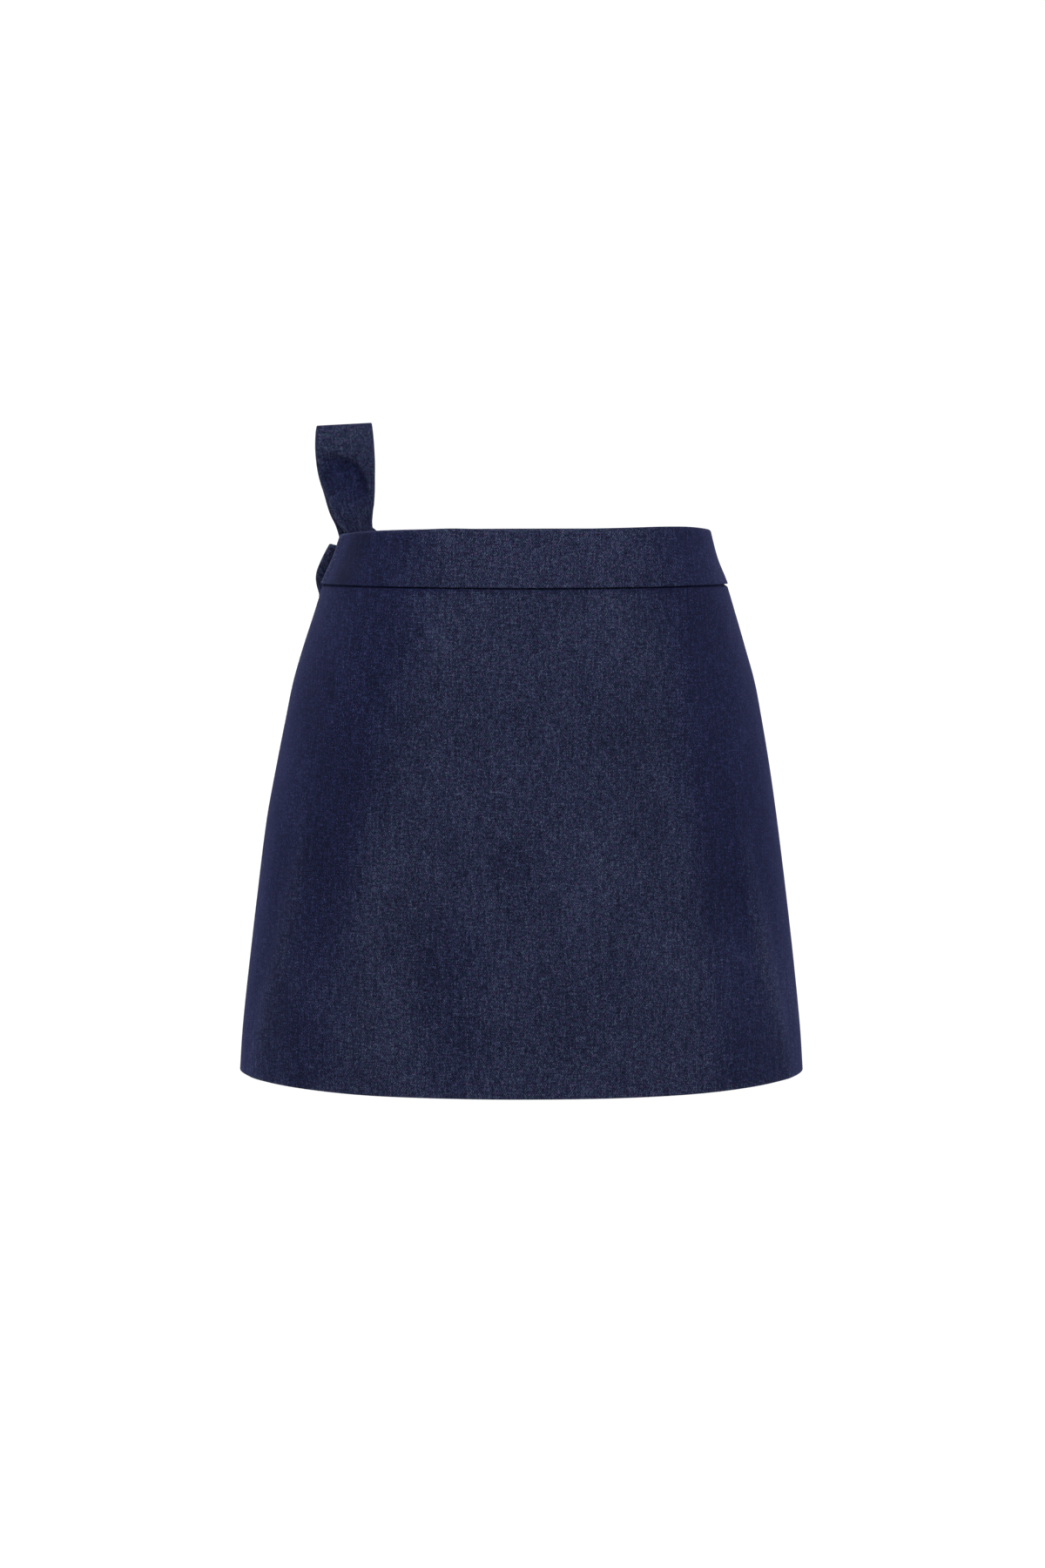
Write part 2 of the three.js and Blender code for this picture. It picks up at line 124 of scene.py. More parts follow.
# Lines are in degrees and drop. The first rows show in the photograph, and the rest are like them.
SKIRT_CREASES = [
    crease([(218, 150), (213, 235), (206, 318), (199, 392)], 11, 1.5),
    crease([(224, 105), (225, 200), (226, 300), (224, 395)], 17, -1.4),
    crease([(323, 150), (328, 235), (334, 310), (341, 392)], 11, 1.5),
    crease([(319, 95), (320, 190), (320, 300), (318, 395)], 17, -1.3),
    crease([(258, 230), (256, 300), (252, 395)], 24, -0.9),
    crease([(284, 120), (286, 240), (284, 395)], 22, 0.7),
    crease([(240, 190), (241, 280), (238, 395)], 13, 0.7),
    crease([(302, 160), (303, 260), (304, 395)], 13, 0.7),
    crease([(137, 62), (124, 105), (104, 165), (92, 230)], 9, 1.5),
    crease([(133, 78), (114, 130), (98, 190)], 11, -1.1),
    crease([(139, 80), (131, 150), (121, 240), (112, 330)], 11, 1.2),
    crease([(131, 130), (124, 220), (116, 300)], 13, -0.9),
    crease([(150, 75), (158, 130), (166, 190)], 9, 1.0),
    crease([(147, 205), (144, 290), (142, 395)], 12, 1.0),
    crease([(156, 190), (155, 290), (157, 395)], 15, -1.3),
    crease([(165, 160), (167, 260), (171, 395)], 11, 1.1),
    crease([(74, 80), (70, 180), (66, 300)], 15, 0.9),
    crease([(82, 180), (80, 280), (76, 395)], 16, -1.0),
    crease([(36, 110), (34, 220), (35, 395)], 15, -1.3),
    crease([(28, 150), (25, 250), (19, 395)], 11, 1.3),
    crease([(50, 200), (51, 300), (53, 395)], 14, 0.9),
    crease([(190, 60), (200, 76), (214, 84)], 6, -0.5),
    crease([(350, 60), (340, 78), (327, 88)], 6, -0.5),
]

# The bow, measured from the knot's middle: aside is towards the front, and out is away from the skirt

KNOT_DEGREES, KNOT_DROP = 143.5, 29
KNOT_ASIDE, KNOT_OUT, KNOT_UP = 13.5, 9.5, 12  # half its sizes
KNOT_FLAT = 34, 82  # how high the ribbon is that is wound round the bow, and how long

# Near and far are how far the loop's two sides lie from its middle line
Loop = namedtuple("Loop", "up aside out turn width thick gather near far")
UPPER_LOOP = [
    Loop(4, 0, 0, 0, 15, 2.6, 1.3, 3.3, 3.3),
    Loop(16, -0.1, 1.4, -6, 19, 2.4, 1.4, 3.9, 3.8),
    Loop(31, -0.4, 3.7, -18, 24.2, 2.2, 1.1, 5, 4.6),
    Loop(42, -1.6, 5.6, -30, 30.6, 2, 0.7, 5.4, 5.4),
    Loop(57, -2.6, 7.2, -38, 36.6, 1.9, 0.3, 4.4, 6.2),
    Loop(71, -3.7, 8.8, -42, 40.2, 1.9, 0.1, 6.4, 6.6),
    Loop(85, -4.5, 9.6, -42, 41.2, 1.9, 0, 7.4, 6.4),
    Loop(95.8, -4.8, 9.8, -42, 40.2, 1.9, 0, 5.8, 5),
    Loop(101.2, -4.8, 9.8, -42, 39, 1.9, 0, 0, 0),
]
LOWER_LOOP = [
    Loop(-4, 0, 3.6, 0, 14, 2.6, 1, 2.6, 2.6),
    Loop(-16, 0.5, 7, 0, 19, 2.4, 1.3, 3.4, 3.8),
    Loop(-30, 1, 13.4, 0, 26, 2.1, 1, 4, 5.6),
    Loop(-46, 1.5, 18, 0, 34, 1.9, 0.6, 4.5, 8),
    Loop(-64, 1.5, 22, 0, 39, 1.9, 0.2, 5, 8.6),
    Loop(-80, 1, 25, 0, 39.6, 1.9, 0, 4.5, 6.4),
    Loop(-90, 1, 26.5, 0, 39, 1.9, 0, 0, 0),
]
# Lines are in millimetres to the side of the loop's middle and up from the knot's
UPPER_LOOP_CREASES = [
    crease([(14.5, 44.5), (9.9, 43), (3, 37.5)], 1.6, -1.7),
    crease([(14.5, 36.5), (9.9, 31), (7.5, 26)], 1.6, -1.4),
    crease([(-12, 30), (-10, 44), (-7, 58)], 3.5, -0.8),
]
DENT_HEIGHT, DENT_DEPTH = 80, 8.5
LOBE_WIDTH, LOBE_HEIGHT, LOBE_REACH = 9, 21.5, 7.5  # the loop's far side bulges beside its root
LOWER_LOOP_CREASES = [
    crease([(-12, -52), (-2, -62), (10, -66)], 4, 1.2),
    crease([(10, -34), (6, -50), (2, -58)], 3.5, -1.0),
]

# Tilt leans a ribbon's top edge out and its lower edge in, bow stands its middle out, and back pulls it towards
# the side seam, into a standing pleat
Along = namedtuple("Along", "degrees drop width out tilt bow back thick gather")
SIDE_STRETCH = [
    Along(177.4, 34.5, 25, -0.6, 0, 0, 0, 1.6, 0),
    Along(175.5, 34, 27, 0.6, 0.6, 0, 0, 1.7, 0),
    Along(173, 32.8, 31, 0.9, 1, 0, 0, 1.8, 0),
    Along(171, 31.2, 35, 1.8, 2, 1, 1.5, 1.8, 0),
    Along(169, 30.2, 38, 3.6, 3.8, 3, 7, 1.9, 0),
    Along(167, 30, 38.5, 4.6, 5.4, 4.6, 10.8, 1.9, 0),
    Along(165, 30, 38, 4.8, 6, 4.6, 9.4, 1.9, 0.1),
    Along(162, 29.6, 36, 5.4, 5.4, 3.4, 5, 1.9, 0.3),
    Along(157.5, 29.2, 31.5, 6.8, 2.6, 1.1, 1, 2, 0.7),
    Along(152.5, 29, 26, 8.4, 0.5, 0, 0, 2.2, 1.1),
    Along(149, 29, 20, 10, 0, 0, 0, 2.4, 1.2),
    Along(146.5, 29, 17, 11, 0, 0, 0, 2.6, 1.1),
]
FRONT_STRETCH = [
    Along(140.5, 29, 17, 11, 0, 0, 0, 2.6, 1.1),
    Along(138, 28, 20, 9.5, 0, 0, 0, 2.4, 1.2),
    Along(134.5, 25, 27, 5.5, 0, 0, 0, 2.2, 1.1),
    Along(131, 21.5, 34, 2.6, 0, 0, 0, 2, 0.5),
    Along(128.2, 19, 37, 1.6, 0, 0, 0, 1.9, 0),
]

Hanging = namedtuple("Hanging", "drop degrees width out thick gather")
SIDE_END = [
    Hanging(36, 145.6, 9, 5, 2.2, 0.9),
    Hanging(46, 147, 12, 3.6, 2.2, 1),
    Hanging(62, 149, 21, 2.8, 2, 0.8),
    Hanging(85, 151.5, 31, 2.4, 1.9, 0.4),
    Hanging(115, 153.5, 37, 2.1, 1.9, 0.1),
    Hanging(150, 155, 38, 2.1, 1.9, 0),
    Hanging(178, 156, 38, 2.7, 1.9, 0),
]
FRONT_END = [
    Hanging(36, 141.4, 9, 5, 2.2, 0.9),
    Hanging(46, 140, 12, 4.4, 2.2, 1),
    Hanging(62, 137.5, 20, 4.3, 2, 0.8),
    Hanging(85, 134.5, 30, 4.4, 1.9, 0.4),
    Hanging(115, 131.5, 37, 4.4, 1.9, 0.1),
    Hanging(150, 129, 38, 4.6, 1.9, 0),
    Hanging(170, 128, 38, 5.3, 1.9, 0),
]
PLEATS = 3.5
RIBBON_WIDTH = 38
RIBBON_EDGE = 0.9


def smooth(table, column, place, key="drop"):
    """A column's value between a table's rows, on a smooth curve through them"""
    keys = np.array([getattr(row, key) for row in table], float)
    values = np.array([getattr(row, column) for row in table], float)
    return on_curve(keys, values, place)


def on_curve(keys, values, place):
    place = np.asarray(place, float)
    direction = 1 if keys[-1] > keys[0] else -1
    i = np.clip(np.searchsorted(direction * keys, direction * place) - 1, 0, len(keys) - 2)
    before = np.maximum(np.arange(len(keys)) - 1, 0)
    after = np.minimum(np.arange(len(keys)) + 1, len(keys) - 1)
    slope = (values[after] - values[before]) / (keys[after] - keys[before])
    span = keys[i + 1] - keys[i]
    t = np.clip((place - keys[i]) / span, 0, 1)
    rise = values[i + 1] - values[i]
    bend = (1 - t) * span * slope[i] - t * span * slope[i + 1] - (1 - 2 * t) * rise
    return values[i] + t * rise + t * (1 - t) * bend


def step(value, start, end):
    """0 before start and 1 after end, with a soft change between them"""
    t = np.clip((np.asarray(value, float) - start) / (end - start), 0, 1)
    return t * t * (3 - 2 * t)


def hump(distance, width):
    """1 at no distance, falling to 0 over about twice that width"""
    return np.exp(-((distance / width) ** 2))


def around(degrees, drop):
    """Cosine, sine, half width and depth of the outline at a place on the skirt"""
    angle = np.radians(degrees)
    cos, sin = np.cos(angle), np.sin(angle)
    depth = np.where(sin < 0, smooth(OUTLINE, "back", drop), smooth(OUTLINE, "front", drop))
    return cos, sin, smooth(OUTLINE, "half_width", drop), depth


def outward(degrees, drop):
    """Level direction straight out of the skirt"""
    cos, sin, half_width, depth = around(degrees, drop)
    x, y = cos / half_width, sin / depth
    long = np.hypot(x, y)
    return np.stack([x / long, y / long, np.zeros_like(x)], -1)


def skirt_point(degrees, drop, out):
    degrees, drop, out = np.broadcast_arrays(*(np.asarray(v, float) for v in (degrees, drop, out)))
    cos, sin, half_width, depth = around(degrees, drop)
    point = np.stack([smooth(OUTLINE, "shift", drop) + half_width * cos, depth * sin, SKIRT_TOP - drop], -1)
    return point + outward(degrees, drop) * out[..., None]


def degrees_for(length, degrees, drop):
    """The angle that spans a length along the outline"""
    cos, sin, half_width, depth = around(degrees, drop)
    return np.degrees(length / np.hypot(half_width * sin, depth * cos))


def rise_of(creases, across, along):
    """Height of all creases at places given across and along the cloth, in millimetres"""
    height = np.zeros(np.broadcast(across, along).shape)
    for line, width, top in creases:
        nearest = np.full(height.shape, np.inf)
        share = np.zeros(height.shape)
        lengths = np.hypot(*np.diff(line, axis=0).T)
        walked = 0.0
        for start, end, long in zip(line[:-1], line[1:], lengths):
            way = (end - start) / long
            t = np.clip((across - start[0]) * way[0] + (along - start[1]) * way[1], 0, long)
            distance = np.hypot(across - start[0] - t * way[0], along - start[1] - t * way[1])
            closer = distance < nearest
            nearest = np.where(closer, distance, nearest)
            share = np.where(closer, (walked + t) / lengths.sum(), share)
            walked += long
        fading = step(share, 0, 0.3) * (1 - 0.75 * step(share, 0.75, 1))
        height += top * fading * hump(nearest, width)
    return height


def skirt_creases(degrees, drop):
    across = np.mod(degrees, 360) * DEGREE_LENGTH
    lines = [crease(c.line * (DEGREE_LENGTH, 1), c.width, c.height) for c in SKIRT_CREASES]
    ripple = RIPPLE * np.sin(np.radians(degrees) * 9 + drop / 70) * np.sin(drop / 48 + np.radians(degrees) * 4)
    return (rise_of(lines, across, drop) + ripple) * step(drop, BAND_HEIGHT, BAND_HEIGHT + 40)


def lap_over(degrees):
    return LAP_OUT * step(degrees, *LAP_RISE)


def lap_under(degrees):
    return -LAP_IN * (1 - step(degrees, *LAP_SINK))


def flush(degrees):
    return np.zeros_like(degrees)


def back_dip(degrees):
    return BACK_DIP * np.maximum(0, -np.sin(np.radians(degrees))) ** 2


def top_dip(degrees):
    angles, drops = np.array(TOP_EDGE, float).T
    return on_curve(angles, drops, degrees)


def hem_dip(degrees):
    """How much lower the hem hangs than a level one"""
    sine = np.sin(np.radians(degrees))
    return -HEM_RAISED + np.where(sine < 0, HEM_SAG_BACK, HEM_SAG_FRONT) * step(np.abs(sine), 0.12, 0.97)


# Sheets of cloth


def lines_across(length, spacing, edge):
    """Places from 0 to length, close together at both ends, where the cloth's edge is rounded by that radius"""
    corner = [edge * (1 - math.cos(math.radians(a))) for a in (0, 28, 55, 78)]
    count = max(2, round((length - 2 * edge) / spacing))
    middle = np.linspace(edge, length - edge, count + 1)
    return np.array([*corner, *middle, *(length - c for c in reversed(corner))])


def with_steps(places, steps):
    """The steps, and the places that aren't close to one"""
    far = [min(abs(place - s) for s in steps) > 0.9 for place in places]
    return np.sort(np.concatenate([places[far], steps]))


def roundness(place, length, edge):
    """Share of its thickness that cloth has near its two ends"""
    inward = np.clip(np.minimum(place, length - place) / edge, 0, 1)
    return np.sqrt(1 - (1 - inward) ** 2)


def face_direction(points):
    """Unit directions straight out of a grid whose columns run right and rows run down"""
    across = np.gradient(points, axis=0)
    down = np.gradient(points, axis=1)
    out = np.cross(down, across)
    return out / np.linalg.norm(out, axis=-1, keepdims=True)


def both_sides(middle, half):
    out = face_direction(middle)
    return middle + out * half[..., None], middle - out * half[..., None]


def weave_places(points, turned=0.0):
    """Places on the flat cloth of each point of a grid, in metres: across from the middle column, and up"""
    across = np.linalg.norm(np.diff(points, axis=0), axis=-1).cumsum(0)
    across = np.vstack([np.zeros((1, points.shape[1])), across])
    across -= across[len(across) // 2]
    down = np.linalg.norm(np.diff(points, axis=1), axis=-1).cumsum(1)
    down = np.hstack([np.zeros((len(points), 1)), down]).mean(0)
    u, v = across * MM, np.broadcast_to(-down * MM, across.shape)
    cos, sin = math.cos(turned), math.sin(turned)
    return np.stack([u * cos - v * sin, u * sin + v * cos], -1)


def split_at_corners(quads, corners):
    """Faces in which a quad at a corner of the sheet is two triangles that meet along a line out of that corner.

    The sheet's two sides share that quad's other diagonal, and split along it they would have a triangle in common.
    """
    faces = []
    for quad in quads.tolist():
        first = next((i for i, point in enumerate(quad) if point in corners), None)
        if first is None:
            faces.append(quad)
        else:
            corner, before, opposite, after = quad[first:] + quad[:first]
            faces += [(corner, before, opposite), (corner, opposite, after)]
    return faces


def cloth(name, facing, backing, weave, finish, inside, wear):
    """A closed sheet between two grids of points, which share the points of their edges.

    Inside is how far the back shows the wrong side. The last value lightens the face for fade and painted light, and
    darkens it for painted shade.
    """
    columns, rows = facing.shape[:2]
    front = np.arange(columns * rows).reshape(columns, rows)
    back = front.copy()
    back[1:-1, 1:-1] = front.size + np.arange((columns - 2) * (rows - 2)).reshape(columns - 2, rows - 2)
    points = np.concatenate([facing.reshape(-1, 3), backing[1:-1, 1:-1].reshape(-1, 3)])
    quads = [
        (grid[:-1, :-1], grid[:-1, 1:], grid[1:, 1:], grid[1:, :-1])[::turn]
        for grid, turn in ((front, 1), (back, -1))
    ]
    faces = np.concatenate([np.stack(quad, -1).reshape(-1, 4) for quad in quads])
    faces = split_at_corners(faces, front[[0, 0, -1, -1], [0, -1, 0, -1]].tolist())
    mesh = bpy.data.meshes.new(name)
    mesh.from_pydata(points * MM, [], faces)
    mesh.shade_smooth()

    def everywhere(value, shape=()):
        grid = np.broadcast_to(np.asarray(value, float), facing.shape[:2] + shape)
        return np.concatenate([grid.reshape(-1, *shape), grid[1:-1, 1:-1].reshape(-1, *shape)])

    places = everywhere(weave, (2,))
    points_of_faces = np.empty(len(mesh.loops), np.int32)
    mesh.loops.foreach_get("vertex_index", points_of_faces)
    mesh.uv_layers.new(name="weave").data.foreach_set("uv", places[points_of_faces].ravel())
    shows = everywhere(inside)
    shows[: front.size] = 0
    for attribute, values in (("inside", shows), ("wear", everywhere(wear))):
        mesh.attributes.new(attribute, "FLOAT", "POINT").data.foreach_set("value", values)
    piece = bpy.data.objects.new(name, mesh)
    bpy.context.scene.collection.objects.link(piece)
    mesh.materials.append(finish)
    return piece


def dress(piece, node, flat, area=None):
    """The piece stands for a node, which it hides, and is attached to the body. The flat size in millimetres is not
    used.
    """
    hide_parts(node)
    flat[0] * MM
    flat[1] * MM
    None if area is None else area * MM * MM
    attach(piece, BODY)


# Finishes, with stops of a place along the weave's lightness and an sRGB colour out of 255

NAVY = [(0.0, (3, 4, 12)), (0.3, (5, 7, 20)), (0.5, (10, 13, 31)), (0.7, (19, 22, 46)), (1.0, (42, 46, 74))]
# Colours of the fade in the face, used also for painted light
WORN_AND_LIT = [(0.0, (2, 3, 6)), (0.25, (8, 10, 20)), (0.5, (17, 20, 38)), (0.75, (34, 38, 55)), (1.0, (60, 65, 77))]
DYED = [(0.0, (255, 214, 240)), (0.5, (236, 238, 255)), (1.0, (216, 255, 242))]
WRONG_SIDE = [(0.0, (38, 41, 55)), (0.5, (70, 74, 88)), (1.0, (114, 117, 126))]


class Socket:
    """A node's output in an expression, where arithmetic adds the Math nodes"""

    def __init__(self, output):
        self.output = output

    def node(self, kind, settings=None, inputs=None, output=0):
        return add_node(self.output.id_data, kind, settings, inputs, output)

    def math(self, operation, *values):
        return self.node("ShaderNodeMath", {"operation": operation}, dict(enumerate(values)))

    def __add__(self, other):
        return self.math("ADD", self, other)

    def __radd__(self, other):
        return self.math("ADD", other, self)

    def __sub__(self, other):
        return self.math("SUBTRACT", self, other)

    def __rsub__(self, other):
        return self.math("SUBTRACT", other, self)

    def __mul__(self, other):
        return self.math("MULTIPLY", self, other)

    def __rmul__(self, other):
        return self.math("MULTIPLY", other, self)

    def sine(self):
        return self.math("SINE", self)

    def within(self, low, high):
        """0 below low and 1 above high, with a soft change between them"""
        limits = {"Value": self, "From Min": low, "From Max": high}
        return self.node("ShaderNodeMapRange", {"interpolation_type": "SMOOTHSTEP"}, limits)

    def swing(self, amount):
        """A value about 0, from one between 0 and 1"""
        return (self - 0.5) * amount

    def noise(self, width, height, detail=2.0, roughness=0.5, lacunarity=2.0):
        """Noise on a vector of places, in grains of that size in metres"""
        scale = {0: self, 1: (1 / width, 1 / height, 1)}
        grains = self.node("ShaderNodeVectorMath", {"operation": "MULTIPLY"}, scale)
        inputs = {"Vector": grains, "Scale": 1, "Detail": detail, "Roughness": roughness, "Lacunarity": lacunarity}
        return self.node("ShaderNodeTexNoise", {"noise_dimensions": "2D"}, inputs)

    def ramp(self, stops):
        return self.node("ShaderNodeValToRGB", {"stops": stops}, {"Fac": self})

    def tinted_by(self, other):
        settings = {"data_type": "RGBA", "blend_type": "MULTIPLY"}
        return self.node("ShaderNodeMix", settings, {0: 1.0, 6: self, 7: other}, 2)

    def mixed_with(self, other, share):
        return self.node("ShaderNodeMix", {"data_type": "RGBA"}, {0: share, 6: self, 7: other}, 2)


def linear(colour):
    """An sRGB colour out of 255 as Blender's scene colour"""
    parts = [c / 255 for c in colour]
    return tuple(p / 12.92 if p <= 0.04045 else ((p + 0.055) / 1.055) ** 2.4 for p in parts)


def add_node(tree, kind, settings=None, inputs=None, output=0):
    """Adds a node, with its settings first and then the values or links of its sockets"""
    node = tree.nodes.new(kind)
    for name, value in (settings or {}).items():
        if name == "stops":
            elements = node.color_ramp.elements
            while len(elements) < len(value):
                elements.new(0.5)
            for element, (place, colour) in zip(elements, value):
                element.position = place
                element.color = (*linear(colour), 1)
        else:
            setattr(node, name, value)
    for name, value in (inputs or {}).items():
        if isinstance(value, Socket):
            tree.links.new(value.output, node.inputs[name])
        else:
            node.inputs[name].default_value = value
    return Socket(node.outputs[output]) if node.outputs else node


def denim(name, twill_degrees, lightness):
    """Dark indigo twill, a warp face with pale weft flecks, and a pale wrong side"""
    finish = bpy.context.scene.denim_finish
    material = bpy.data.materials.new(name)
    material.use_nodes = True
    tree = material.node_tree
    tree.nodes.clear()
    places = add_node(tree, "ShaderNodeUVMap", {"uv_map": "weave"})
    wear = add_node(tree, "ShaderNodeAttribute", {"attribute_name": "wear"}, output="Fac")
    inside = add_node(tree, "ShaderNodeAttribute", {"attribute_name": "inside"}, output="Fac")

    angle = math.radians(twill_degrees)
    frequency = 2 * math.pi / finish.twill_spacing
    way = (math.sin(angle) * frequency, -math.cos(angle) * frequency, 0)
    phase = places.node("ShaderNodeVectorMath", {"operation": "DOT_PRODUCT"}, {0: places, 1: way}, "Value")
    uneven = places.noise(0.004, 0.006)
    ribs = (phase + uneven.swing(6)).sine() * 0.5 + 0.5
    grain = places.noise(0.0005, 0.00085, 2, 0.5, 0.5)
    slubs = places.noise(0.0013, 0.009, 3, 0.6)
    weft = places.noise(0.007, 0.0013, 3, 0.6)
    streaks = places.noise(0.004, 0.03)
    cloudy = places.noise(0.05, 0.08, 3)
    hues = places.noise(0.0022, 0.003, 3, 0.7)

    threads = slubs.swing(0.5) + weft.swing(0.42)
    # The lighter colours come in with the real fade and with painted light; low values leave painted shade
    faded_and_lit = (wear + threads + streaks.swing(0.35) + cloudy.swing(0.3)).within(-0.05, 1.05)
    woven = grain.swing(1.55) + threads + streaks.swing(0.2) + ribs.swing(0.3)
    tone = 0.45 + lightness + 0.05 * wear + cloudy.swing(0.22) + woven
    dyed = hues.within(0.3, 0.7).ramp(DYED)
    face = tone.ramp(NAVY).mixed_with(tone.ramp(WORN_AND_LIT), faded_and_lit).tinted_by(dyed)
    wrong = (0.5 + grain.swing(1.2) + ribs.swing(0.25) + cloudy.swing(0.3)).ramp(WRONG_SIDE)
    height = ribs * 0.6 + grain * 0.9 + slubs * 0.3
    bump = places.node("ShaderNodeBump", None, {"Strength": 0.55, "Distance": 0.00035, "Height": height})
    shader = places.node(
        "ShaderNodeBsdfPrincipled",
        None,
        {
            "Base Color": face.mixed_with(wrong, inside),
            "Roughness": 0.97 - 0.06 * ribs,
            "Specular IOR Level": 0.05,
            "Sheen Weight": finish.sheen,
            "Sheen Roughness": 0.45,
            "Sheen Tint": (*linear(255 * part for part in finish.sheen_colour), 1),
            "Normal": bump,
        },
    )
    add_node(tree, "ShaderNodeOutputMaterial", None, {"Surface": shader})
    return material


# Panels and lengths of the waistband: the angles of their side edges at a drop, their lap and their free edge

Cut = namedtuple("Cut", "start end lap free_edge")
BACK = Cut(
    lambda drop: 180 - SIDE_SEAM - degrees_for(SEAM_OVERLAP / 2, 0, drop),
    lambda drop: 360 + SIDE_SEAM + degrees_for(SEAM_OVERLAP / 2, 0, drop),
    flush,
    None,
)
OVERLAP = Cut(
    lambda drop: SIDE_SEAM - degrees_for(SEAM_OVERLAP / 2, 0, drop),
    lambda drop: OVERLAP_EDGE_WAIST + (OVERLAP_EDGE_HEM - OVERLAP_EDGE_WAIST) * drop / LENGTH,
    lap_over,
    "end",
)
UNDERLAP = Cut(
    lambda drop: np.full_like(drop, UNDERLAP_EDGE),
    lambda drop: 180 - SIDE_SEAM + degrees_for(SEAM_OVERLAP / 2, 0, drop),
    lap_under,
    "start",
)


def girth(part, drop):
    """Length of a part along the outline at that drop"""
    places = np.linspace(part.start(np.array(drop)), part.end(np.array(drop)), 400)
    return np.linalg.norm(np.diff(skirt_point(places, drop, 0), axis=0), axis=-1).sum()


def fading(degrees, drop):
    """Lighter face: a fade and painted light mid-back, soft at its edges; a fade mid-front; painted light low on the
    rest
    """
    place = np.mod(degrees, 360)
    left, right = FADED_AND_LIT_BACK
    left = left - 11 * step(drop, 20, 330)
    soft = 22 - 8 * step(drop, 20, 90)
    back = step(place, left - soft, left + soft) * (1 - step(place, right - soft, right + soft))
    patch = hump(place - DARK_PATCH, 8) * step(drop, 215, 280)
    front = 0.55 * (1 - step(np.abs(place - FADED_FRONT), 26, 62))
    # Lighter low down outside the middle of the back, a painted highlight for the side light on the lower sides
    low = 0.42 * step(drop, 180, 330) * (1 - back)
    return back * (1 - 0.25 * patch) + front + low


def turned_in(from_edge, turn):
    """1 where an edge is turned in by that much, and 0 past it"""
    return 1 - step(from_edge, turn, turn + FOLD)


def panel(name, part, finish):
    sizes = bpy.context.scene.skirt_cloth
    single, turned = sizes.cloth / MM, sizes.turned_cloth / MM
    top = BAND_HEIGHT - IN_BAND
    height = LENGTH - top
    width = girth(part, LENGTH)
    near_band = BAND_HEIGHT - top + np.array([-1, 0, 0.4, 0.8, 1.2, 1.6, 2, 2.5, 3.4])
    hem = [height - HEM_TURN - FOLD, height - HEM_TURN]
    down = with_steps(lines_across(height, 3.6, turned / 2), [*hem, *near_band])
    edges = {"start": [EDGE_TURN, EDGE_TURN + FOLD], "end": [width - EDGE_TURN - FOLD, width - EDGE_TURN]}
    allowances = [SEAM_ALLOWANCE, SEAM_ALLOWANCE + FOLD, width - SEAM_ALLOWANCE - FOLD, width - SEAM_ALLOWANCE]
    along = with_steps(lines_across(width, 3.4, turned / 2), edges.get(part.free_edge, []) + allowances)
    at, drop = np.meshgrid(along, down + top, indexing="ij")
    share = at / width
    degrees = part.start(drop) + (part.end(drop) - part.start(drop)) * share
    from_start, from_end, from_hem = at, width - at, LENGTH - drop

    folded = {"start": from_start, "end": from_end}.get(part.free_edge, np.full(at.shape, np.inf))
    sewn = {"start": from_end, "end": from_start}.get(part.free_edge, np.minimum(from_start, from_end))
    is_turned = np.maximum(turned_in(from_hem, HEM_TURN), turned_in(folded, EDGE_TURN))
    thick = single + (turned - single) * np.maximum(is_turned, turned_in(sewn, SEAM_ALLOWANCE))
    full = roundness(at, width, turned / 2) * roundness(drop - top, height, turned / 2)

    down_share = (drop - BAND_HEIGHT) / (LENGTH - BAND_HEIGHT)
    lift = CORNER_LIFT * down_share**2 * step(share, CORNER_FROM, 1) if part.free_edge == "end" else 0
    groove = GROOVE_DEPTH * (1 - step(drop, BAND_HEIGHT + 0.1, BAND_HEIGHT + GROOVE))
    valley = 0.5 * hump(sewn, 1.6) + groove
    puckers = 0.16 * hump(sewn, 5) * np.sin(drop / 5.1 + 1.7 * np.sin(drop / 37))
    surface = part.lap(degrees) + lift + skirt_creases(degrees, drop) - valley + puckers
    lowered = drop + back_dip(degrees) * (1 - np.clip(down_share, 0, 1)) ** 3
    lowered = lowered + hem_dip(degrees) * np.clip(down_share, 0, 1) ** 3
    facing = skirt_point(degrees, lowered, surface - thick / 2 * (1 - full))
    backing = skirt_point(degrees, lowered, surface - thick / 2 * (1 + full))

    # Ridges of creases are lighter, partly rubbed cloth and partly a painted highlight; troughs are darker with
    # painted shade
    wear = fading(degrees, drop) + 0.25 * np.clip(skirt_creases(degrees, drop), -0.5, 1.5)
    wear = wear + 0.5 * hump(np.minimum(from_hem, folded), 2.2)
    # Painted shade: darker just under the waistband's lower edge, for the shadow in the seam's groove
    wear = wear - 0.5 * hump(drop - BAND_HEIGHT - 1.5, 2.5)
    piece = cloth(name, facing, backing, weave_places(facing), finish, 1 - is_turned, wear)
    flat = (width + 2 * SEAM_ALLOWANCE + (EDGE_TURN if part.free_edge else 0), height + HEM_TURN)
    area = (girth(part, LENGTH / 2) / width) * flat[0] * flat[1]
    return piece, flat, area


# Waistband


